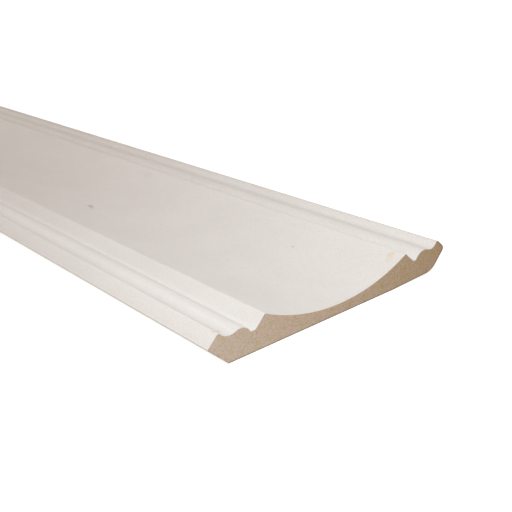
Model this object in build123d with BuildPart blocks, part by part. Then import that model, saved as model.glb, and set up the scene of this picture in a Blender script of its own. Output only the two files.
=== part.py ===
from build123d import *

import os
from dataclasses import dataclass
from math import cos, radians, sin, sqrt, tan

# A length of cornice moulding lying on its flat back, in millimetres.
# X runs along the length, Y across the face from the wall edge (-Y) to the
# ceiling edge (+Y), and Z up from the back to the crests of the face.
LENGTH = 2438.4  # stock cut eight feet long
FACE_WIDTH = 133.35  # over the two edges
THICKNESS = 14.3  # back to crests
SPRING_ANGLE = 45.0  # between the back and the bevel that sits on the wall
COVE_WEB = 4.8  # board left under the deepest line of the cove
ARRIS = 0.5  # softened corners of each crest

# The small mouldings along the wall edge, in order inward from its tip.
# Depths and drops are below the crests.
WALL_TIP_HEIGHT = 9.05  # back to the corner of the bevel and the lip face
WALL_TIP_RADIUS = 0.2
WALL_LIP_DROP = 0.3
WALL_LIP_FLAT = 1.1
WALL_CAVETTO_DEPTH = 2.75
WALL_CAVETTO_RADIUS = 6.1
WALL_BEAD_DROP = 1.65
WALL_BEAD_RADIUS = 5.2
WALL_QUIRK_DEPTH = 4.9
WALL_QUIRK_WIDTH = 2.4
WALL_QUIRK_RADIUS = 1.6  # at the foot of the step
WALL_CREST_FLAT = 0.7  # narrow land between the step and the cove

# The same mouldings along the ceiling edge, whose tip is a rounded nose.
CEILING_TIP_HEIGHT = 9.9
CEILING_TIP_RADIUS = 2.1
CEILING_LIP_DROP = 0.0
CEILING_LIP_FLAT = 1.25
CEILING_CAVETTO_DEPTH = 2.45
CEILING_CAVETTO_RADIUS = 4.2
CEILING_BEAD_DROP = 1.5
CEILING_BEAD_RADIUS = 6.2
CEILING_QUIRK_DEPTH = 4.75
CEILING_QUIRK_WIDTH = 1.75
CEILING_QUIRK_RADIUS = 0.6
CEILING_CREST_FLAT = 0.6

# The back is eased away from its flat near the ceiling edge.
RELIEF_WIDTH = 24.0
RELIEF_RISE = 0.95
RELIEF_RADIUS = 9.0


@dataclass
class EdgeOutline:
    """One edge of the section: its sizes, and the corner points worked out from them."""

    side: int  # -1 for the wall edge, +1 for the ceiling edge
    bevel_angle: float  # between the back and this edge's bevel
    tip_height: float
    tip_radius: float
    lip_drop: float
    lip_flat: float
    cavetto_depth: float
    cavetto_radius: float
    bead_drop: float
    bead_radius: float
    quirk_depth: float
    quirk_width: float
    quirk_radius: float
    crest_flat: float

    def __post_init__(self) -> None:
        """Works out the points, walking inward from the tip."""
        angle = radians(self.bevel_angle)
        self.slope = tan(angle)
        # The sharp corner overhangs the rounded tip, which is what the width is measured to.
        self.reach = FACE_WIDTH / 2 + self.tip_radius * (cos(angle) + sin(angle) - 1)
        lip_top = THICKNESS - self.lip_drop
        lip_run = (lip_top - self.tip_height) * self.slope
        self.foot = self.at(self.tip_height / self.slope, 0)
        self.tip = self.at(0, self.tip_height)
        self.lip_outer = self.at(lip_run, lip_top)
        self.lip_inner = self.at(lip_run + self.lip_flat, lip_top)

        # The cavetto and the bead are two arcs that meet on the line of their centres.
        cavetto_rise = self.cavetto_radius - self.cavetto_depth
        cavetto_half = sqrt(self.cavetto_radius**2 - (cavetto_rise + self.lip_drop) ** 2)
        cavetto_run = lip_run + self.lip_flat + cavetto_half
        bead_rise = -self.bead_drop - self.bead_radius
        radii = self.cavetto_radius + self.bead_radius
        bead_run = cavetto_run + sqrt(radii**2 - (cavetto_rise - bead_rise) ** 2)
        share = self.cavetto_radius / radii
        ogee_run = cavetto_run + (bead_run - cavetto_run) * share
        self.ogee = self.at(ogee_run, THICKNESS + cavetto_rise + (bead_rise - cavetto_rise) * share)

        floor = THICKNESS - self.quirk_depth
        quirk_run = bead_run + sqrt(self.bead_radius**2 - (self.quirk_depth + bead_rise) ** 2)
        step_run = quirk_run + self.quirk_width + self.quirk_depth * self.slope
        self.quirk = self.at(quirk_run, floor)
        self.step_foot = self.at(quirk_run + self.quirk_width, floor)
        self.step_outer = self.at(step_run, THICKNESS)
        self.step_inner = self.at(step_run + self.crest_flat, THICKNESS)
        self.crests = [self.lip_outer, self.lip_inner, self.step_outer, self.step_inner]

    def at(self, run: float, height: float) -> tuple[float, float]:
        """Point of the section at a distance in from the tip and a height above the back."""
        return (self.side * (self.reach - run), height)


wall = EdgeOutline(
    side=-1,
    bevel_angle=SPRING_ANGLE,
    tip_height=WALL_TIP_HEIGHT,
    tip_radius=WALL_TIP_RADIUS,
    lip_drop=WALL_LIP_DROP,
    lip_flat=WALL_LIP_FLAT,
    cavetto_depth=WALL_CAVETTO_DEPTH,
    cavetto_radius=WALL_CAVETTO_RADIUS,
    bead_drop=WALL_BEAD_DROP,
    bead_radius=WALL_BEAD_RADIUS,
    quirk_depth=WALL_QUIRK_DEPTH,
    quirk_width=WALL_QUIRK_WIDTH,
    quirk_radius=WALL_QUIRK_RADIUS,
    crest_flat=WALL_CREST_FLAT,
)
ceiling = EdgeOutline(
    side=1,
    bevel_angle=90.0 - SPRING_ANGLE,
    tip_height=CEILING_TIP_HEIGHT,
    tip_radius=CEILING_TIP_RADIUS,
    lip_drop=CEILING_LIP_DROP,
    lip_flat=CEILING_LIP_FLAT,
    cavetto_depth=CEILING_CAVETTO_DEPTH,
    cavetto_radius=CEILING_CAVETTO_RADIUS,
    bead_drop=CEILING_BEAD_DROP,
    bead_radius=CEILING_BEAD_RADIUS,
    quirk_depth=CEILING_QUIRK_DEPTH,
    quirk_width=CEILING_QUIRK_WIDTH,
    quirk_radius=CEILING_QUIRK_RADIUS,
    crest_flat=CEILING_CREST_FLAT,
)
relief_start = (ceiling.foot[0] - RELIEF_WIDTH, 0)
relief_end = (ceiling.foot[0] + RELIEF_RISE / ceiling.slope, RELIEF_RISE)
cove_bottom = ((wall.step_inner[0] + ceiling.step_inner[0]) / 2, COVE_WEB)

with BuildPart() as moulding:
    with BuildSketch(Plane.YZ) as section:
        with BuildLine():
            Polyline(wall.lip_inner, wall.lip_outer, wall.tip, wall.foot, relief_start, relief_end)
            Polyline(relief_end, ceiling.tip, ceiling.lip_outer, ceiling.lip_inner)
            for edge in (wall, ceiling):
                RadiusArc(edge.lip_inner, edge.ogee, edge.side * edge.cavetto_radius)
                RadiusArc(edge.ogee, edge.quirk, -edge.side * edge.bead_radius)
                Polyline(edge.quirk, edge.step_foot, edge.step_outer, edge.step_inner)
            ThreePointArc(wall.step_inner, cove_bottom, ceiling.step_inner)
        make_face()
        for edge in (wall, ceiling):
            fillet(section.vertices().sort_by_distance(edge.tip)[0], edge.tip_radius)
            fillet(section.vertices().sort_by_distance(edge.step_foot)[0], edge.quirk_radius)
            for corner in edge.crests:
                fillet(section.vertices().sort_by_distance(corner)[0], ARRIS)
        fillet(section.vertices().sort_by_distance(relief_end)[0], RELIEF_RADIUS)
    extrude(amount=LENGTH / 2, both=True)

moulding.part.label = "cornice_moulding"
os.makedirs("parts", exist_ok=True)
export_step(moulding.part, "parts/cornice_moulding.step")
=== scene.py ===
"""Dresses a packed cornice moulding: primed fibreboard lying face up, sawn square at both ends."""

import logging
import math
from dataclasses import dataclass
from enum import Enum

import bpy
import numpy as np
from mathutils import Matrix, Vector


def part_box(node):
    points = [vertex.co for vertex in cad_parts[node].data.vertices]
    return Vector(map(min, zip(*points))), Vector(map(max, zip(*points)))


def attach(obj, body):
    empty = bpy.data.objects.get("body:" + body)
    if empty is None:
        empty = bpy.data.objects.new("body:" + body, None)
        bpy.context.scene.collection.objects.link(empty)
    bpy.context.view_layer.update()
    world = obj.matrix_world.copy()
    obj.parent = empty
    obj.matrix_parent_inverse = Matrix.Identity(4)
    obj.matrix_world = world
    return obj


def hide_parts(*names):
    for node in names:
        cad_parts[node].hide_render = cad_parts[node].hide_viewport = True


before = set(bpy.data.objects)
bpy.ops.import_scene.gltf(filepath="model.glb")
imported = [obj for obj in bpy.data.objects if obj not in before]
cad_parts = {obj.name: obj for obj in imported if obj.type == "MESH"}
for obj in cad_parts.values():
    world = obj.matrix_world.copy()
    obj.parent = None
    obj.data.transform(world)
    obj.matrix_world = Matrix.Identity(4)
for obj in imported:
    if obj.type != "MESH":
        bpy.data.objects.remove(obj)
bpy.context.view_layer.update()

NODE = "cornice_moulding"
PIECE = "primed_moulding"
MM = 0.001
SLANT = math.sqrt(0.5)  # each part of a direction at 45 degrees
OVERHANG = math.sqrt(2.0) - 1.0  # of a square corner past its rounding, for a radius of 1
PATTERN_LOW, PATTERN_HIGH = 0.3, 0.7  # nearly all of a noise pattern lies between them
MIX_BASE, MIX_TOP, MIX_RESULT = 6, 7, 2  # numbers of the mix node's colour sockets
Point = tuple[float, float]
Triple = tuple[float, float, float]
Socket = bpy.types.NodeSocket
log = logging.getLogger("cornice")


class Edge(Enum):
    """The two long edges, by the side of the section that each is on."""

    WALL = -1
    CEILING = 1


class Ramp(Enum):
    """How a value eases between the ends of its range."""

    STRAIGHT = "LINEAR"
    SMOOTH = "SMOOTHSTEP"


class Tint(Enum):
    """How one colour is laid over another."""

    OVER = "MIX"
    DARKEN = "MULTIPLY"


class Detail(Enum):
    """Octaves of finer pattern in a noise."""

    SOFT = 1.0
    MIXED = 2.0
    FINE = 3.0


class Graph:
    """Adds nodes to a tree and wires them together."""

    def __init__(self, tree: bpy.types.NodeTree) -> None:
        """Starts on a shader or geometry tree, whose nodes are cleared."""
        self.tree = tree
        self.tree.nodes.clear()

    def add(self, kind: str, **settings: object) -> bpy.types.Node:
        """Adds a node.

        Args:
            kind: Blender's name for the node type.
            settings: Properties of the node, by name.

        Returns:
            The new node.
        """
        node = self.tree.nodes.new(kind)
        for name, value in settings.items():
            setattr(node, name, value)
        return node

    def feed(self, socket: Socket, value: object) -> None:
        """Links another socket into this one, or sets it to a plain value.

        Args:
            socket: Input to fill.
            value: An output socket, a number, a colour or another plain value.
        """
        if isinstance(value, Socket):
            self.tree.links.new(value, socket)
        elif socket.type == "RGBA":
            socket.default_value = (*value, 1.0)
        else:
            socket.default_value = value

    def math(self, operation: str, first: object, second: object = 0.0) -> Socket:
        """Combines two numbers.

        Args:
            operation: Name of the sum, such as ADD.
            first: Left number or socket.
            second: Right number or socket.

        Returns:
            The result's socket.
        """
        node = self.add("ShaderNodeMath", operation=operation)
        self.feed(node.inputs[0], first)
        self.feed(node.inputs[1], second)
        return node.outputs[0]

    def vector(self, operation: str, first: object, second: Triple) -> bpy.types.Node:
        """Combines a vector with three fixed numbers.

        Args:
            operation: Name of the sum, such as SUBTRACT.
            first: Socket that gives the vector.
            second: The three numbers.

        Returns:
            The node, whose outputs are the vector and the value.
        """
        node = self.add("ShaderNodeVectorMath", operation=operation)
        self.feed(node.inputs[0], first)
        self.feed(node.inputs[1], second)
        return node

    def length(self, vector: Socket) -> Socket:
        """Length of a vector."""
        return self.vector("LENGTH", vector, (0.0, 0.0, 0.0)).outputs["Value"]


class ShaderGraph(Graph):
    """A material's tree, with the few patterns that the finishes share."""

    def __init__(self, material: bpy.types.Material) -> None:
        """Starts on a material.

        Args:
            material: Material whose tree is built.
        """
        material.use_nodes = True
        super().__init__(material.node_tree)
        self.place = self.add("ShaderNodeTexCoord").outputs["Object"]

    def noise(self, size: float, detail: Detail, stretch: Triple = (1.0, 1.0, 1.0)) -> Socket:
        """A cloudy pattern from 0 to 1.

        Args:
            size: Width of a blotch, in metres.
            detail: Octaves of finer pattern.
            stretch: How many times longer the blotches are along each axis.

        Returns:
            The pattern's socket.
        """
        scaled = self.vector("DIVIDE", self.place, tuple(size * s for s in stretch))
        node = self.add("ShaderNodeTexNoise", noise_dimensions="3D")
        self.feed(node.inputs["Vector"], scaled.outputs["Vector"])
        self.feed(node.inputs["Scale"], 1.0)
        self.feed(node.inputs["Detail"], detail.value)
        return node.outputs["Fac"]

    def span(self, value: Socket, start: Point, end: Point, ramp: Ramp = Ramp.STRAIGHT) -> Socket:
        """Maps one range of a value to another.

        Args:
            value: Socket to map.
            start: Value in and value out at one end.
            end: Value in and value out at the other end.
            ramp: How it eases between them.

        Returns:
            The mapped value's socket.
        """
        node = self.add("ShaderNodeMapRange", interpolation_type=ramp.value, clamp=True)
        self.feed(node.inputs["Value"], value)
        self.feed(node.inputs["From Min"], start[0])
        self.feed(node.inputs["From Max"], end[0])
        self.feed(node.inputs["To Min"], start[1])
        self.feed(node.inputs["To Max"], end[1])
        return node.outputs["Result"]

    def share(self, pattern: Socket, bounds: Point, most: float = 1.0) -> Socket:
        """Share of a colour that a pattern lets show: none at one value of it, the most at another."""
        return self.span(pattern, (bounds[0], 0.0), (bounds[1], most))

    def spread(self, pattern: Socket, ends: Point) -> Socket:
        """A pattern, spread from one number to another."""
        return self.span(pattern, (PATTERN_LOW, ends[0]), (PATTERN_HIGH, ends[1]))

    def mix(self, factor: object, base: object, top: object, tint: Tint = Tint.OVER) -> Socket:
        """Lays one colour over another.

        Args:
            factor: Share of the top colour.
            base: Colour underneath.
            top: Colour on top.
            tint: How the top is laid on.

        Returns:
            The mixed colour's socket.
        """
        node = self.add("ShaderNodeMix", data_type="RGBA", blend_type=tint.value)
        self.feed(node.inputs["Factor"], factor)
        self.feed(node.inputs[MIX_BASE], base)
        self.feed(node.inputs[MIX_TOP], top)
        return node.outputs[MIX_RESULT]

    def bump(self, height: object, depth: float, strength: float) -> Socket:
        """Turns a pattern into relief.

        Args:
            height: The pattern.
            depth: Height of the relief, in metres.
            strength: Share of that relief to show.

        Returns:
            The normal's socket.
        """
        node = self.add("ShaderNodeBump")
        self.feed(node.inputs["Strength"], strength)
        self.feed(node.inputs["Distance"], depth)
        self.feed(node.inputs["Height"], height)
        return node.outputs["Normal"]

    def surface(self, colour: object, roughness: object, normal: object, specular: float) -> None:
        """Ends the tree in one opaque surface.

        Args:
            colour: Base colour.
            roughness: Roughness.
            normal: Normal from the relief.
            specular: Level of the reflection.
        """
        shader = self.add("ShaderNodeBsdfPrincipled")
        self.feed(shader.inputs["Base Color"], colour)
        self.feed(shader.inputs["Roughness"], roughness)
        self.feed(shader.inputs["Specular IOR Level"], specular)
        self.feed(shader.inputs["Normal"], normal)
        output = self.add("ShaderNodeOutputMaterial")
        self.tree.links.new(shader.outputs["BSDF"], output.inputs["Surface"])


@dataclass(frozen=True)
class Mark:
    """A stain or scuff on the primed face."""

    centre: Triple  # metres, in the moulding's frame
    reach: Triple  # half its size along each axis, in metres
    colour: Triple
    strength: float
    grain: float  # size of the blotches that break it up, in metres


@dataclass(frozen=True)
class PrimerFinish:
    """Matt white primer, rolled on in a thin coat, with the marks that the face has picked up.

    Sizes are in metres. A range gives the values of its pattern where none of the colour shows, and all.
    """

    colour: Triple = (0.82, 0.80, 0.775)
    shade: Triple = (0.765, 0.742, 0.712)
    cool: Triple = (0.80, 0.805, 0.79)
    pink: Triple = (1.0, 0.985, 0.985)
    green: Triple = (0.985, 1.0, 0.985)
    grain: Triple = (0.94, 0.94, 0.94)
    shade_range: Point = (0.35, 0.70)
    cool_range: Point = (0.40, 0.75)
    pink_range: Point = (0.50, 0.70)
    green_range: Point = (0.50, 0.30)
    grain_range: Point = (0.60, 0.30)
    tone_share: float = 0.55  # most of the shade and of the cool tone that shows
    roughness: Point = (0.50, 0.62)
    specular: float = 0.35
    cloud_size: float = 0.018
    cloud_stretch: Triple = (2.0, 1.0, 1.0)
    blotch_size: float = 0.0035
    tinge_size: float = 0.0045
    grain_size: float = 0.0009
    streak_size: float = 0.0008
    streak_stretch: Triple = (60.0, 1.0, 1.0)
    streak_share: float = 0.5  # of the streaks in the relief
    peel_size: float = 0.0011
    relief_depth: float = 0.00006
    relief_strength: float = 0.35
    mark_core: float = 0.15  # share of a mark's reach that has its full strength
    break_range: Point = (0.30, 0.65)  # of the blotches that break a mark up
    break_least: float = 0.35  # share of a mark that shows between those blotches
    marks: tuple[Mark, ...] = (
        # A tan stain by the near end.
        Mark((1.2128, 0.0389, 0.0132), (0.0028, 0.0030, 0.004), (0.74, 0.58, 0.33), 0.62, 0.0012),
        Mark((1.2143, 0.0364, 0.0120), (0.0028, 0.0030, 0.004), (0.76, 0.65, 0.44), 0.40, 0.0012),
        # A scuff in the cove.
        Mark((1.0228, -0.0083, 0.0054), (0.0034, 0.0019, 0.003), (0.30, 0.29, 0.27), 0.42, 0.0030),
        Mark((1.0188, -0.0074, 0.0053), (0.0038, 0.0024, 0.003), (0.28, 0.28, 0.26), 0.58, 0.0030),
        # Faint smears by the ceiling edge.
        Mark((1.0122, 0.0368, 0.0121), (0.0085, 0.0040, 0.005), (0.55, 0.47, 0.38), 0.15, 0.0025),
        Mark((1.0052, 0.0428, 0.0131), (0.0095, 0.0045, 0.005), (0.55, 0.47, 0.38), 0.15, 0.0025),
        # Two specks.
        Mark((1.1622, 0.0248, 0.0080), (0.0014, 0.0010, 0.003), (0.42, 0.40, 0.32), 0.58, 0.0010),
        Mark((1.2074, 0.0330, 0.0106), (0.0007, 0.0007, 0.003), (0.60, 0.45, 0.42), 0.40, 0.0010),
        # A dot on the wall lip, in its cavetto and on its crest.
        Mark((1.2138, -0.0578, 0.0119), (0.0014, 0.0024, 0.003), (0.54, 0.46, 0.47), 0.62, 0.0030),
        Mark((1.2163, -0.0608, 0.0140), (0.0012, 0.0018, 0.003), (0.54, 0.46, 0.47), 0.58, 0.0030),
    )

    def build(self) -> bpy.types.Material:
        """Makes the material.

        Returns:
            The primer.
        """
        material = bpy.data.materials.new("white_primer")
        graph = ShaderGraph(material)
        clouds = graph.noise(self.cloud_size, Detail.FINE, self.cloud_stretch)
        blotches = graph.noise(self.blotch_size, Detail.MIXED)
        tinge = graph.noise(self.tinge_size, Detail.MIXED)
        grain = graph.noise(self.grain_size, Detail.MIXED)
        shaded = graph.share(clouds, self.shade_range, self.tone_share)
        cooled = graph.share(blotches, self.cool_range, self.tone_share)
        colour = graph.mix(cooled, graph.mix(shaded, self.colour, self.shade), self.cool)
        for pattern, bounds, tone in (
            (tinge, self.pink_range, self.pink),
            (tinge, self.green_range, self.green),
            (grain, self.grain_range, self.grain),
        ):
            colour = graph.mix(graph.share(pattern, bounds), colour, tone, Tint.DARKEN)
        for mark in self.marks:
            colour = self.lay_mark(graph, colour, mark)
        streaks = graph.noise(self.streak_size, Detail.SOFT, self.streak_stretch)
        peel = graph.noise(self.peel_size, Detail.MIXED)
        relief = graph.math("ADD", graph.math("MULTIPLY", streaks, self.streak_share), peel)
        graph.surface(
            colour,
            graph.spread(blotches, self.roughness),
            graph.bump(relief, self.relief_depth, self.relief_strength),
            self.specular,
        )
        return material

    def lay_mark(self, graph: ShaderGraph, colour: Socket, mark: Mark) -> Socket:
        """Lays one stain or scuff over the coat.

        Args:
            graph: The primer's tree.
            colour: The coat so far.
            mark: What to lay on it.

        Returns:
            The coat with the mark on it.
        """
        offset = graph.vector("SUBTRACT", graph.place, mark.centre)
        scaled = graph.vector("DIVIDE", offset.outputs["Vector"], mark.reach)
        distance = graph.length(scaled.outputs["Vector"])
        gap, full = self.break_range
        blotches = graph.noise(mark.grain, Detail.MIXED)
        broken = graph.span(blotches, (gap, self.break_least), (full, 1.0))
        spot = graph.span(distance, (self.mark_core, mark.strength), (1.0, 0.0), Ramp.SMOOTH)
        return graph.mix(graph.math("MULTIPLY", spot, broken), colour, mark.colour)


@dataclass(frozen=True)
class Skin:
    """The dense outer layer of the board behind one of its flat outer faces, darker in tone; along the
    back, where the board lies on the floor, its darkening is also painted shade.
    """

    inward: Triple  # direction into the board, square to the face
    distance: float  # of the face from the origin along that direction, in metres
    strength: float  # how much of the skin's dark tone shows at the face
    depth: float = 0.0009  # at which the dark tone has died away, in metres

    def below(self, graph: ShaderGraph) -> Socket:
        """Depth of each point of the board below the face."""
        along = graph.vector("DOT_PRODUCT", graph.place, self.inward).outputs["Value"]
        return graph.math("SUBTRACT", along, self.distance)

    def fade(self, graph: ShaderGraph, depth: Socket) -> Socket:
        """The darkening's strength, eased off with the depth below its face; at the back it is partly
        painted shade.
        """
        return graph.span(depth, (0.0, self.strength), (self.depth, 0.0), Ramp.SMOOTH)


@dataclass(frozen=True)
class BoardFinish:
    """Raw fibreboard, as on a sawn end: mixed fibres, lighter on the wall side by painted light, and
    dark at its skins, which along the back edge is partly painted shade.

    Sizes are in metres. A range gives the values of its pattern where none of the colour shows, and all.
    """

    half_width: float
    skins_and_shade: tuple[Skin, ...]
    nose: tuple[Skin, Skin]  # behind the two faces, square to each other, that the nose rounds off
    nose_radius: float
    # painted light: a lighter tone on the wall side, fading to brown towards the ceiling side, stands in
    # for the lamps' falloff across the sawn end
    painted_lit_side: Triple = (0.655, 0.55, 0.47)
    brown: Triple = (0.495, 0.372, 0.24)
    pink: Triple = (1.0, 0.875, 0.875)
    olive: Triple = (0.89, 0.98, 0.77)
    fibre: Triple = (0.77, 0.74, 0.71)
    pale: Triple = (0.77, 0.68, 0.52)
    # darkens the sawn end at its outer faces: partly the board's dense skin, partly painted shade, a
    # contact shadow along the back edge
    skin_and_shade: Triple = (0.46, 0.52, 0.58)
    pink_range: Point = (0.42, 0.70)
    olive_range: Point = (0.45, 0.72)
    fibre_range: Point = (0.48, 0.28)
    pale_range: Point = (0.54, 0.72)
    pale_share: float = 0.42  # most of the pale tone that shows
    patch_size: float = 0.0013
    drift_size: float = 0.00208
    drift_stretch: Triple = (1.0, 2.0, 1.0)
    fibre_size: float = 0.00055
    fibre_stretch: Triple = (1.0, 1.3, 1.0)
    roughness: Point = (0.82, 0.95)
    specular: float = 0.2
    relief_depth: float = 0.00012
    relief_strength: float = 0.5

    def build(self) -> bpy.types.Material:
        """Makes the material.

        Returns:
            The raw board.
        """
        material = bpy.data.materials.new("raw_fibreboard")
        graph = ShaderGraph(material)
        axes = graph.add("ShaderNodeSeparateXYZ")
        graph.feed(axes.inputs[0], graph.place)
        across = graph.span(axes.outputs["Y"], (-self.half_width, 0.0), (self.half_width, 1.0))
        patches = graph.noise(self.patch_size, Detail.MIXED)
        drift = graph.noise(self.drift_size, Detail.SOFT, self.drift_stretch)
        fibres = graph.noise(self.fibre_size, Detail.FINE, self.fibre_stretch)
        # painted light: the board is lighter towards the wall side, where the lamps fall
        colour = graph.mix(across, self.painted_lit_side, self.brown)
        for pattern, bounds, tone in (
            (patches, self.pink_range, self.pink),
            (drift, self.olive_range, self.olive),
            (fibres, self.fibre_range, self.fibre),
        ):
            colour = graph.mix(graph.share(pattern, bounds), colour, tone, Tint.DARKEN)
        colour = graph.mix(graph.share(fibres, self.pale_range, self.pale_share), colour, self.pale)
        # the darker skin, with painted shade along the back edge
        colour = graph.mix(self.skin_and_painted_shade(graph), colour, self.skin_and_shade, Tint.DARKEN)
        graph.surface(
            colour,
            graph.spread(patches, self.roughness),
            graph.bump(fibres, self.relief_depth, self.relief_strength),
            self.specular,
        )
        return material

    def skin_and_painted_shade(self, graph: ShaderGraph) -> Socket:
        """How much of the dark skin, with the painted shade along the back edge, shows at each point of
        the sawn end.

        Args:
            graph: The board's tree.

        Returns:
            The strength of the skin and painted shade at the surface, easing to 0 below it.
        """
        shown = self.nose[0].fade(graph, self.nose_depth(graph))
        for skin_and_shade in self.skins_and_shade:
            shown = graph.math("MAXIMUM", shown, skin_and_shade.fade(graph, skin_and_shade.below(graph)))
        return shown

    def nose_depth(self, graph: ShaderGraph) -> Socket:
        """Depth below the two faces of the nose and the curve that joins them.

        Args:
            graph: The board's tree.

        Returns:
            The depth's socket.
        """
        sides = [graph.math("SUBTRACT", self.nose_radius, skin_and_shade.below(graph)) for skin_and_shade in self.nose]
        corner = graph.add("ShaderNodeCombineXYZ")
        for socket, side in zip(corner.inputs, sides):
            graph.feed(socket, graph.math("MAXIMUM", side, 0.0))
        curve = graph.length(corner.outputs[0])
        deeper = graph.math("MINIMUM", graph.math("MAXIMUM", sides[0], sides[1]), 0.0)
        return graph.math("SUBTRACT", self.nose_radius, graph.math("ADD", curve, deeper))


def arc(centre: Point, start: Point, end: Point, steps: int) -> np.ndarray:
    """Points along the shorter arc between two points.

    Args:
        centre: Centre of the arc.
        start: First point.
        end: Last point.
        steps: Number of chords.

    Returns:
        One row for each point.
    """
    first = math.atan2(start[1] - centre[1], start[0] - centre[0])
    last = math.atan2(end[1] - centre[1], end[0] - centre[0])
    turn = (last - first + math.pi) % (2 * math.pi) - math.pi
    angles = first + turn * np.linspace(0.0, 1.0, steps + 1)
    radius = math.dist(centre, start)
    return np.column_stack((centre[0] + radius * np.cos(angles), centre[1] + radius * np.sin(angles)))


def join_runs(runs: list[np.ndarray], radii: list[float], steps: int) -> np.ndarray:
    """Joins runs of points end to end, each joint rounded to its own radius.

    Args:
        runs: Runs of points, each starting where the one before it ends.
        radii: Radius at each joint, or 0 for a sharp corner.
        steps: Number of chords in a rounded corner.

    Returns:
        One row for each point of the joined line.
    """
    line = runs[0]
    for run, radius in zip(runs[1:], radii):
        corner = run[0]
        if radius == 0.0:
            line = np.vstack((line, run[1:]))
            continue
        into = (corner - line[-2]) / np.linalg.norm(corner - line[-2])
        away = (run[1] - corner) / np.linalg.norm(run[1] - corner)
        turn = math.acos(float(np.clip(into @ away, -1.0, 1.0)))
        trim = radius * math.tan(turn / 2)
        begin, finish = corner - into * trim, corner + away * trim
        inward = (away - into) / np.linalg.norm(away - into)
        middle = corner + inward * radius / math.cos(turn / 2)
        before = line[np.linalg.norm(line - corner, axis=1) > trim]
        after = run[np.linalg.norm(run - corner, axis=1) > trim]
        bend = arc(tuple(middle), tuple(begin), tuple(finish), steps)
        line = np.vstack((before, bend, after))
    return line


@dataclass(frozen=True)
class EdgeTrim:
    """Sizes of the small mouldings along one edge, in metres, in order inward from the tip."""

    edge: Edge
    tip_height: float
    tip_radius: float
    lip_drop: float
    lip_flat: float
    cavetto_depth: float
    cavetto_radius: float
    bead_drop: float
    bead_radius: float
    quirk_depth: float
    quirk_width: float
    quirk_radius: float
    crest_flat: float


WALL_TRIM = EdgeTrim(
    edge=Edge.WALL,
    tip_height=9.05 * MM,
    tip_radius=0.2 * MM,
    lip_drop=0.3 * MM,
    lip_flat=1.1 * MM,
    cavetto_depth=2.75 * MM,
    cavetto_radius=6.1 * MM,
    bead_drop=1.65 * MM,
    bead_radius=5.2 * MM,
    quirk_depth=4.9 * MM,
    quirk_width=2.4 * MM,
    quirk_radius=1.6 * MM,
    crest_flat=0.7 * MM,
)
CEILING_TRIM = EdgeTrim(
    edge=Edge.CEILING,
    tip_height=9.9 * MM,
    tip_radius=2.1 * MM,
    lip_drop=0.0,
    lip_flat=1.25 * MM,
    cavetto_depth=2.45 * MM,
    cavetto_radius=4.2 * MM,
    bead_drop=1.5 * MM,
    bead_radius=6.2 * MM,
    quirk_depth=4.75 * MM,
    quirk_width=1.75 * MM,
    quirk_radius=0.6 * MM,
    crest_flat=0.6 * MM,
)


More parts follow.
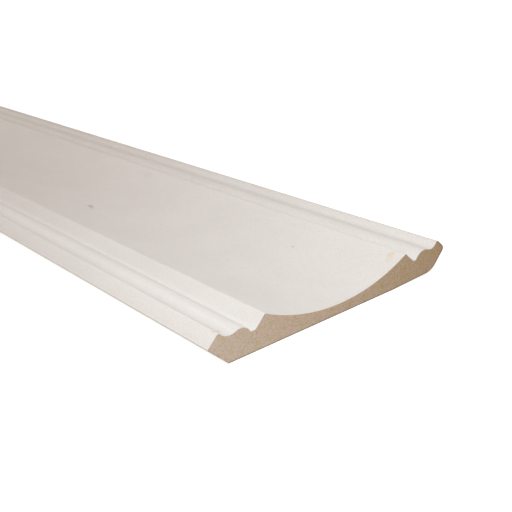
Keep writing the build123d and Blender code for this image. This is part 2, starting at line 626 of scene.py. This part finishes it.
@dataclass(frozen=True)
class Section:
    """The sawn end's outline, across the face from the wall edge to the ceiling edge, in metres.

    Bevels and steps stand at 45 degrees to the back, so a rise and its run are equal.
    """

    width: float
    thickness: float
    cove_web: float = 4.8 * MM
    arris: float = 0.5 * MM
    relief_width: float = 24.0 * MM
    relief_rise: float = 0.95 * MM
    relief_radius: float = 9.0 * MM
    coat: float = 0.15 * MM
    coat_share: float = 0.4  # most of the board's height that the coat takes, where the edges run thin
    tip_gap: float = 0.05 * MM  # kept free of columns beside each tip
    least_step: float = 0.03 * MM  # between one column and the next
    rows: int = 9
    corner_steps: int = 5
    relief_steps: int = 8
    bead_steps: int = 14
    cove_steps: int = 56

    def reach(self, trim: EdgeTrim) -> float:
        """Distance from the middle to the sharp corner that the rounded tip stands inside."""
        return self.width / 2 + trim.tip_radius * OVERHANG

    def skins_and_shade(self) -> tuple[Skin, ...]:
        """The dense layers along the back, its eased part, the crests and the wall's bevel; the back's
        layer is also painted shade, the contact shadow where the board lies on the floor.

        Returns:
            One skin for each of those faces, thinner along the bevel.
        """
        wall_foot = self.reach(WALL_TRIM) - WALL_TRIM.tip_height
        ease_start = self.reach(CEILING_TRIM) - CEILING_TRIM.tip_height - self.relief_width
        ease = math.atan2(self.relief_rise, self.relief_width + self.relief_rise)
        eased = (0.0, -math.sin(ease), math.cos(ease))
        return (
            # strongest: the back's skin plus painted contact shadow where it lies on the floor
            Skin(inward=(0.0, 0.0, 1.0), distance=0.0, strength=1.0),
            Skin(inward=eased, distance=eased[1] * ease_start, strength=0.8),
            Skin(inward=(0.0, 0.0, -1.0), distance=-self.thickness, strength=0.4),
            Skin(inward=(0.0, SLANT, SLANT), distance=-SLANT * wall_foot, strength=0.8, depth=0.0002),
        )

    def nose_skins(self) -> tuple[Skin, Skin]:
        """The dense layers along the ceiling edge's bevel and its lip face, which meet at the nose.

        Returns:
            The bevel's skin and the lip face's.
        """
        foot = self.reach(CEILING_TRIM) - CEILING_TRIM.tip_height
        peak = self.reach(CEILING_TRIM) + CEILING_TRIM.tip_height
        return (
            Skin(inward=(0.0, -SLANT, SLANT), distance=-SLANT * foot, strength=0.45, depth=0.0016),
            Skin(inward=(0.0, -SLANT, -SLANT), distance=-SLANT * peak, strength=0.45, depth=0.0016),
        )

    def edge_runs(self, trim: EdgeTrim) -> tuple[list[np.ndarray], list[float]]:
        """The face line of one edge, from its tip to the crest beside the cove.

        Args:
            trim: Sizes of that edge.

        Returns:
            Runs of points as distances in from the tip and heights, and the radius at each joint.
        """
        top = self.thickness
        lip_top = top - trim.lip_drop
        lip = lip_top - trim.tip_height
        lip_end = lip + trim.lip_flat
        rise = trim.cavetto_radius - trim.cavetto_depth
        half = math.sqrt(trim.cavetto_radius**2 - (rise + trim.lip_drop) ** 2)
        cavetto = (lip_end + half, top + rise)
        drop = trim.bead_drop + trim.bead_radius
        radii = trim.cavetto_radius + trim.bead_radius
        bead = (cavetto[0] + math.sqrt(radii**2 - (rise + drop) ** 2), top - drop)
        share = trim.cavetto_radius / radii
        ogee = tuple(a + (b - a) * share for a, b in zip(cavetto, bead))
        floor = top - trim.quirk_depth
        quirk = (bead[0] + math.sqrt(trim.bead_radius**2 - (floor - bead[1]) ** 2), floor)
        foot = (quirk[0] + trim.quirk_width, floor)
        crest = foot[0] + trim.quirk_depth
        wave = np.vstack((
            arc(cavetto, (lip_end, lip_top), ogee, self.bead_steps),
            arc(bead, ogee, quirk, self.bead_steps)[1:],
        ))
        runs = [
            np.array([(0.0, trim.tip_height), (lip, lip_top)]),
            np.array([(lip, lip_top), (lip_end, lip_top)]),
            wave,
            np.array([quirk, foot]),
            np.array([foot, (crest, top)]),
            np.array([(crest, top), (crest + trim.crest_flat, top)]),
        ]
        return runs, [self.arris, self.arris, 0.0, trim.quirk_radius, self.arris]

    def place(self, trim: EdgeTrim, run: np.ndarray) -> np.ndarray:
        """Turns distances in from an edge's tip into places across the section."""
        side = trim.edge.value
        return np.column_stack((side * (self.reach(trim) - run[:, 0]), run[:, 1]))

    def face_line(self) -> np.ndarray:
        """The moulded face from tip to tip.

        Returns:
            One row for each point, across and up.
        """
        wall_runs, wall_radii = self.edge_runs(WALL_TRIM)
        ceiling_runs, ceiling_radii = self.edge_runs(CEILING_TRIM)
        wall = [self.place(WALL_TRIM, run) for run in wall_runs]
        ceiling = [self.place(CEILING_TRIM, run)[::-1] for run in reversed(ceiling_runs)]
        start, end = wall[-1][-1], ceiling[0][0]
        depth = self.thickness - self.cove_web
        half = (end[0] - start[0]) / 2
        radius = (half**2 + depth**2) / (2 * depth)
        centre = (start[0] + half, self.cove_web + radius)
        cove = arc(centre, tuple(start), tuple(end), self.cove_steps)
        radii = [*wall_radii, self.arris, self.arris, *reversed(ceiling_radii)]
        return join_runs([*wall, cove, *ceiling], radii, self.corner_steps)

    def back_line(self) -> np.ndarray:
        """The two bevels and the back between them, from tip to tip.

        Returns:
            One row for each point, across and up.
        """
        wall_tip = np.array((-self.reach(WALL_TRIM), WALL_TRIM.tip_height))
        ceiling_tip = np.array((self.reach(CEILING_TRIM), CEILING_TRIM.tip_height))
        wall_foot = wall_tip + np.array((1.0, -1.0)) * WALL_TRIM.tip_height
        ceiling_foot = ceiling_tip - np.array((1.0, 1.0)) * CEILING_TRIM.tip_height
        relief_start = ceiling_foot - np.array((self.relief_width, 0.0))
        relief_end = ceiling_foot + np.array((1.0, 1.0)) * self.relief_rise
        corners = [wall_tip, wall_foot, relief_start, relief_end, ceiling_tip]
        runs = [np.array(pair) for pair in zip(corners, corners[1:])]
        return join_runs(runs, [0.0, 0.0, self.relief_radius], self.relief_steps)

    def tip_column(self, trim: EdgeTrim) -> np.ndarray:
        """The rounded tip of one edge, from its bevel up to its lip face.

        Args:
            trim: Sizes of that edge.

        Returns:
            One row for each level of the section.
        """
        side = trim.edge.value
        centre = (side * (self.width / 2 - trim.tip_radius), trim.tip_height)
        up = trim.tip_radius * SLANT
        across = centre[0] + side * up
        return arc(centre, (across, centre[1] - up), (across, centre[1] + up), self.rows - 1)

    def grid(self) -> np.ndarray:
        """Points over the whole sawn end, in columns from the wall edge and rows from the back up.

        The top row is the face, and the one under it is the bottom of the primer.

        Returns:
            Places across and up, by column and row.
        """
        first, last = self.tip_column(WALL_TRIM), self.tip_column(CEILING_TRIM)
        face, back = self.face_line(), self.back_line()
        across = np.unique(np.concatenate((face[:, 0], back[:, 0])))
        left, right = first[-1, 0] + self.tip_gap, last[-1, 0] - self.tip_gap
        across = across[(across > left) & (across < right)]
        across = across[np.concatenate(([True], np.diff(across) > self.least_step))]
        low = np.interp(across, back[:, 0], back[:, 1])
        high = np.interp(across, face[:, 0], face[:, 1])
        coat = np.minimum(self.coat, self.coat_share * (high - low))
        share = np.linspace(0.0, 1.0, self.rows - 1)
        levels = low[:, None] + (high - coat - low)[:, None] * share
        levels = np.column_stack((levels, high))
        middle = np.stack((np.repeat(across[:, None], self.rows, axis=1), levels), axis=-1)
        return np.concatenate((first[None], middle, last[None]))


KEPT_PLACE = "lattice"  # attribute that keeps each point's place in the block
BLOCK_SIDE = 0.5  # of the unit block, from its middle
NOSE_SIDE = 0.4999  # just inside the block's ceiling side
COAT_ROWS = 0.75  # down from the top: past the middle of the first row of faces, short of the second


class SweepTree:
    """Geometry Nodes tree that shapes a unit block into a section swept along its length."""

    def __init__(self, name: str) -> None:
        """Builds the tree: a block of quads, moved onto the section, creased and given its finishes.

        Args:
            name: Name of the node group.
        """
        self.tree = bpy.data.node_groups.new(name, "GeometryNodeTree")
        self.inputs: dict[str, str] = {}
        self.socket("Section", "NodeSocketGeometry")
        for label in ("Length", "Sharp Angle"):
            self.socket(label, "NodeSocketFloat")
        for label in ("Stations", "Columns", "Rows"):
            self.socket(label, "NodeSocketInt")
        for label in ("Board", "Primer"):
            self.socket(label, "NodeSocketMaterial")
        interface = self.tree.interface
        interface.new_socket(name="Geometry", in_out="OUTPUT", socket_type="NodeSocketGeometry")
        self.graph = Graph(self.tree)
        self.given = self.graph.add("NodeGroupInput").outputs
        block, axes = self.make_block()
        real = self.graph.add("GeometryNodeRealizeInstances")
        self.graph.feed(real.inputs["Geometry"], self.crease(self.move(block, axes)))
        dressed = self.dress(real.outputs["Geometry"], axes)
        self.graph.feed(self.graph.add("NodeGroupOutput").inputs["Geometry"], dressed)

    def socket(self, label: str, kind: str) -> None:
        """Adds a named input and keeps its identifier."""
        item = self.tree.interface.new_socket(name=label, in_out="INPUT", socket_type=kind)
        self.inputs[label] = item.identifier

    def last(self, label: str) -> Socket:
        """Number of the last column or row, counted from 0."""
        return self.graph.math("SUBTRACT", self.given[label], 1.0)

    def whole(self, place: Socket, label: str) -> Socket:
        """Number of a column or row, from its place along one side of the block."""
        share = self.graph.math("ADD", place, BLOCK_SIDE)
        return self.graph.math("ROUND", self.graph.math("MULTIPLY", share, self.last(label)))

    def make_block(self) -> tuple[Socket, bpy.types.Node]:
        """Makes a unit block of quads that keeps each point's place in it.

        Returns:
            The block's socket, and the node that gives the kept places along each axis.
        """
        graph = self.graph
        block = graph.add("GeometryNodeMeshCube")
        graph.feed(block.inputs["Size"], (1.0, 1.0, 1.0))
        for axis, label in zip("XYZ", ("Stations", "Columns", "Rows")):
            graph.feed(block.inputs[f"Vertices {axis}"], self.given[label])
        keep = graph.add("GeometryNodeStoreNamedAttribute", data_type="FLOAT_VECTOR", domain="POINT")
        graph.feed(keep.inputs["Geometry"], block.outputs["Mesh"])
        graph.feed(keep.inputs["Name"], KEPT_PLACE)
        graph.feed(keep.inputs["Value"], graph.add("GeometryNodeInputPosition").outputs[0])
        kept = graph.add("GeometryNodeInputNamedAttribute", data_type="FLOAT_VECTOR")
        graph.feed(kept.inputs["Name"], KEPT_PLACE)
        axes = graph.add("ShaderNodeSeparateXYZ")
        graph.feed(axes.inputs[0], kept.outputs["Attribute"])
        return keep.outputs["Geometry"], axes

    def move(self, mesh: Socket, axes: bpy.types.Node) -> Socket:
        """Moves each point of the block to its place on the section and along the length.

        Args:
            mesh: The block.
            axes: Node that gives the points' places in the block.

        Returns:
            The swept mesh's socket.
        """
        graph = self.graph
        column = self.whole(axes.outputs["Y"], "Columns")
        row = self.whole(axes.outputs["Z"], "Rows")
        index = graph.math("ADD", graph.math("MULTIPLY", column, self.given["Rows"]), row)
        sample = graph.add("GeometryNodeSampleIndex", data_type="FLOAT_VECTOR", domain="POINT")
        graph.feed(sample.inputs["Geometry"], self.given["Section"])
        graph.feed(sample.inputs["Value"], graph.add("GeometryNodeInputPosition").outputs[0])
        graph.feed(sample.inputs["Index"], index)
        point = graph.add("ShaderNodeSeparateXYZ")
        graph.feed(point.inputs[0], sample.outputs["Value"])
        target = graph.add("ShaderNodeCombineXYZ")
        graph.feed(target.inputs["X"], graph.math("MULTIPLY", axes.outputs["X"], self.given["Length"]))
        graph.feed(target.inputs["Y"], point.outputs["Y"])
        graph.feed(target.inputs["Z"], point.outputs["Z"])
        moved = graph.add("GeometryNodeSetPosition")
        graph.feed(moved.inputs["Geometry"], mesh)
        graph.feed(moved.inputs["Position"], target.outputs[0])
        return moved.outputs["Geometry"]

    def crease(self, mesh: Socket) -> Socket:
        """Smooths the faces and keeps the edges past the sharp angle crisp.

        Args:
            mesh: The swept mesh.

        Returns:
            The shaded mesh's socket.
        """
        graph = self.graph
        smooth = graph.add("GeometryNodeSetShadeSmooth", domain="FACE")
        graph.feed(smooth.inputs[0], mesh)
        graph.feed(smooth.inputs["Shade Smooth"], True)
        crisp = graph.add("GeometryNodeSetShadeSmooth", domain="EDGE")
        angle = graph.add("GeometryNodeInputMeshEdgeAngle").outputs["Unsigned Angle"]
        sharp = graph.math("GREATER_THAN", angle, self.given["Sharp Angle"])
        graph.feed(crisp.inputs[0], smooth.outputs[0])
        graph.feed(crisp.inputs["Selection"], sharp)
        graph.feed(crisp.inputs["Shade Smooth"], False)
        return crisp.outputs[0]

    def dress(self, mesh: Socket, axes: bpy.types.Node) -> Socket:
        """Leaves raw board all over, then primes the face and the ceiling edge's nose.

        Args:
            mesh: The shaded mesh.
            axes: Node that gives the points' places in the block.

        Returns:
            The dressed mesh's socket.
        """
        graph = self.graph
        plain = graph.add("GeometryNodeSetMaterial")
        graph.feed(plain.inputs["Geometry"], mesh)
        graph.feed(plain.inputs["Material"], self.given["Board"])
        coat_depth = graph.math("DIVIDE", COAT_ROWS, self.last("Rows"))
        coat_level = graph.math("SUBTRACT", BLOCK_SIDE, coat_depth)
        on_face = graph.math("GREATER_THAN", axes.outputs["Z"], coat_level)
        on_nose = graph.math("GREATER_THAN", axes.outputs["Y"], NOSE_SIDE)
        coated = graph.add("GeometryNodeSetMaterial")
        graph.feed(coated.inputs["Geometry"], plain.outputs["Geometry"])
        graph.feed(coated.inputs["Selection"], graph.math("MAXIMUM", on_face, on_nose))
        graph.feed(coated.inputs["Material"], self.given["Primer"])
        clean = graph.add("GeometryNodeRemoveAttribute")
        graph.feed(clean.inputs["Geometry"], coated.outputs["Geometry"])
        graph.feed(clean.inputs["Name"], KEPT_PLACE)
        return clean.outputs["Geometry"]


@dataclass
class Moulding:
    """The length of moulding: its section, swept along the length, and its finishes."""

    section: Section
    length: float
    primer: PrimerFinish
    board: BoardFinish
    stations: int = 62
    sharp_angle: float = math.radians(28.0)

    def build(self) -> None:
        """Sweeps the section, dresses the result and puts it on the frame."""
        grid = self.section.grid()
        columns, rows = grid.shape[:2]
        points = [(0.0, float(y), float(z)) for y, z in grid.reshape(-1, 2)]
        mesh = bpy.data.meshes.new("section")
        mesh.from_pydata(points, [], [])
        host = bpy.data.objects.new("section", mesh)
        bpy.context.scene.collection.objects.link(host)
        sweep = SweepTree("sweep_section")
        modifier = host.modifiers.new("sweep", "NODES")
        modifier.node_group = sweep.tree
        values = {
            "Length": self.length,
            "Sharp Angle": self.sharp_angle,
            "Stations": self.stations,
            "Columns": columns,
            "Rows": rows,
            "Board": self.board.build(),
            "Primer": self.primer.build(),
        }
        for label, value in values.items():
            modifier[sweep.inputs[label]] = value
        piece = self.bake(host)
        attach(piece, "root")
        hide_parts(NODE)
        log.info("%s: %d columns, %d faces", piece.name, columns, len(piece.data.polygons))

    @staticmethod
    def bake(host: bpy.types.Object) -> bpy.types.Object:
        """Turns the swept result into a plain mesh and removes its host.

        Args:
            host: Object that carries the sweep.

        Returns:
            A new object with the plain mesh.
        """
        depsgraph = bpy.context.evaluated_depsgraph_get()
        swept = bpy.data.meshes.new_from_object(host.evaluated_get(depsgraph), depsgraph=depsgraph)
        swept.name = PIECE
        bpy.data.objects.remove(host)
        piece = bpy.data.objects.new(PIECE, swept)
        bpy.context.scene.collection.objects.link(piece)
        return piece


def aimed(place: Triple, direction: Vector, roll: float = 0.0) -> Matrix:
    """Pose of a lamp or camera at a place, looking along a direction and rolled about it."""
    turn = direction.to_track_quat("-Z", "Y").to_matrix().to_4x4()
    return Matrix.Translation(place) @ turn @ Matrix.Rotation(roll, 4, "Z")


@dataclass(frozen=True)
class Lamp:
    """A soft square lamp."""

    name: str
    place: Triple
    target: Triple
    size: float
    watts: float
    colour: Triple

    def build(self) -> None:
        """Hangs the lamp and turns it to its target."""
        data = bpy.data.lights.new(self.name, "AREA")
        data.shape = "SQUARE"
        data.size = self.size
        data.energy = self.watts
        data.color = self.colour
        lamp = bpy.data.objects.new(self.name, data)
        lamp.visible_camera = False
        bpy.context.scene.collection.objects.link(lamp)
        lamp.matrix_world = aimed(self.place, Vector(self.target) - Vector(self.place))


@dataclass(frozen=True)
class Studio:
    """A pale floor under soft light."""

    floor_size: float = 14.0
    floor_gap: float = 0.0002
    floor_colour: Triple = (0.80, 0.80, 0.80)
    floor_glow: float = 0.87
    ambient: Triple = (1.0, 0.76, 0.57)
    ambient_level: float = 0.32
    backdrop_colour: Triple = (1.0, 1.0, 1.0)
    backdrop_level: float = 1.0
    lamps: tuple[Lamp, ...] = (
        Lamp("key", (1.30, -0.10, 0.35), (1.20, 0.0, 0.0), 0.30, 1.01, (0.86, 0.93, 1.0)),
        Lamp("side", (1.52, -0.38, 0.25), (1.15, 0.0, 0.0), 0.50, 0.745, (1.0, 0.99, 0.98)),
        Lamp("over_near", (0.0, -0.10, 0.75), (0.0, 0.0, 0.0), 0.70, 1.95, (0.97, 0.98, 1.0)),
        Lamp("over_middle", (-0.50, -0.10, 0.75), (-0.50, 0.0, 0.0), 0.70, 2.60, (0.95, 0.98, 1.0)),
        Lamp("over_far", (-1.00, -0.10, 0.75), (-1.00, 0.0, 0.0), 0.70, 2.80, (0.95, 0.98, 1.0)),
    )

    def build(self) -> None:
        """Lays the floor and lights it."""
        bpy.context.scene.view_settings.view_transform = "Standard"
        self.lay_floor()
        self.light_world()
        for lamp in self.lamps:
            lamp.build()
            log.info("lamp %s", lamp.name)

    @staticmethod
    def seen(graph: Graph) -> Socket:
        """Tells where a surface is looked at from where light only bounces off it.

        Args:
            graph: Tree of the floor or the world.

        Returns:
            A socket that is 1 to the camera, a reflection or clear glass, and 0 to bounced light.
        """
        path = graph.add("ShaderNodeLightPath").outputs
        reflected = graph.math("MAXIMUM", path["Is Glossy Ray"], path["Is Transmission Ray"])
        return graph.math("MAXIMUM", path["Is Camera Ray"], reflected)

    def lay_floor(self) -> None:
        """Makes the floor, which glows white to the camera and still takes the shadow."""
        half = self.floor_size / 2
        corners = [(-half, -half), (half, -half), (half, half), (-half, half)]
        mesh = bpy.data.meshes.new("floor")
        mesh.from_pydata([(x, y, -self.floor_gap) for x, y in corners], [], [(0, 1, 2, 3)])
        material = bpy.data.materials.new("pale_floor")
        material.use_nodes = True
        graph = Graph(material.node_tree)
        matt = graph.add("ShaderNodeBsdfDiffuse")
        graph.feed(matt.inputs["Color"], self.floor_colour)
        glow = graph.add("ShaderNodeEmission")
        graph.feed(glow.inputs["Strength"], graph.math("MULTIPLY", self.seen(graph), self.floor_glow))
        both = graph.add("ShaderNodeAddShader")
        graph.feed(both.inputs[0], matt.outputs[0])
        graph.feed(both.inputs[1], glow.outputs[0])
        graph.feed(graph.add("ShaderNodeOutputMaterial").inputs["Surface"], both.outputs[0])
        mesh.materials.append(material)
        floor = bpy.data.objects.new("floor", mesh)
        bpy.context.scene.collection.objects.link(floor)

    def light_world(self) -> None:
        """Fills the room with soft light, seen as plain white."""
        world = bpy.data.worlds.new("studio")
        bpy.context.scene.world = world
        world.use_nodes = True
        graph = Graph(world.node_tree)
        room = graph.add("ShaderNodeBackground")
        graph.feed(room.inputs["Color"], self.ambient)
        graph.feed(room.inputs["Strength"], self.ambient_level)
        backdrop = graph.add("ShaderNodeBackground")
        graph.feed(backdrop.inputs["Color"], self.backdrop_colour)
        graph.feed(backdrop.inputs["Strength"], self.backdrop_level)
        choose = graph.add("ShaderNodeMixShader")
        graph.feed(choose.inputs[0], self.seen(graph))
        graph.feed(choose.inputs[1], room.outputs[0])
        graph.feed(choose.inputs[2], backdrop.outputs[0])
        graph.feed(graph.add("ShaderNodeOutputWorld").inputs["Surface"], choose.outputs[0])


@dataclass(frozen=True)
class PhotoCamera:
    """A hand-held camera in front of the sawn end, off to the wall side and a little tilted."""

    place: Triple = (1.45703, -0.22061, 0.16063)
    forward: Triple = (-0.73869, 0.55857, -0.37728)
    roll: float = math.radians(-4.40)
    lens: float = 60.39
    sensor: float = 36.0
    near_clip: float = 0.01

    def build(self) -> None:
        """Sets the camera up and makes it the scene's own."""
        data = bpy.data.cameras.new("photo_camera")
        data.lens = self.lens
        data.sensor_width = self.sensor
        data.clip_start = self.near_clip
        camera = bpy.data.objects.new("photo_camera", data)
        bpy.context.scene.collection.objects.link(camera)
        camera.matrix_world = aimed(self.place, Vector(self.forward), self.roll)
        bpy.context.scene.camera = camera


def main() -> None:
    """Builds the moulding, the studio and the camera, and notes the sizes."""
    logging.basicConfig(level=logging.INFO, format="%(message)s")
    low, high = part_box(NODE)
    section = Section(width=high.y - low.y, thickness=high.z - low.z)
    board = BoardFinish(
        half_width=section.width / 2,
        skins_and_shade=section.skins_and_shade(),
        nose=section.nose_skins(),
        nose_radius=CEILING_TRIM.tip_radius,
    )
    Moulding(section=section, length=high.x - low.x, primer=PrimerFinish(), board=board).build()
    Studio().build()
    PhotoCamera().build()


if __name__ == "__main__":
    main()
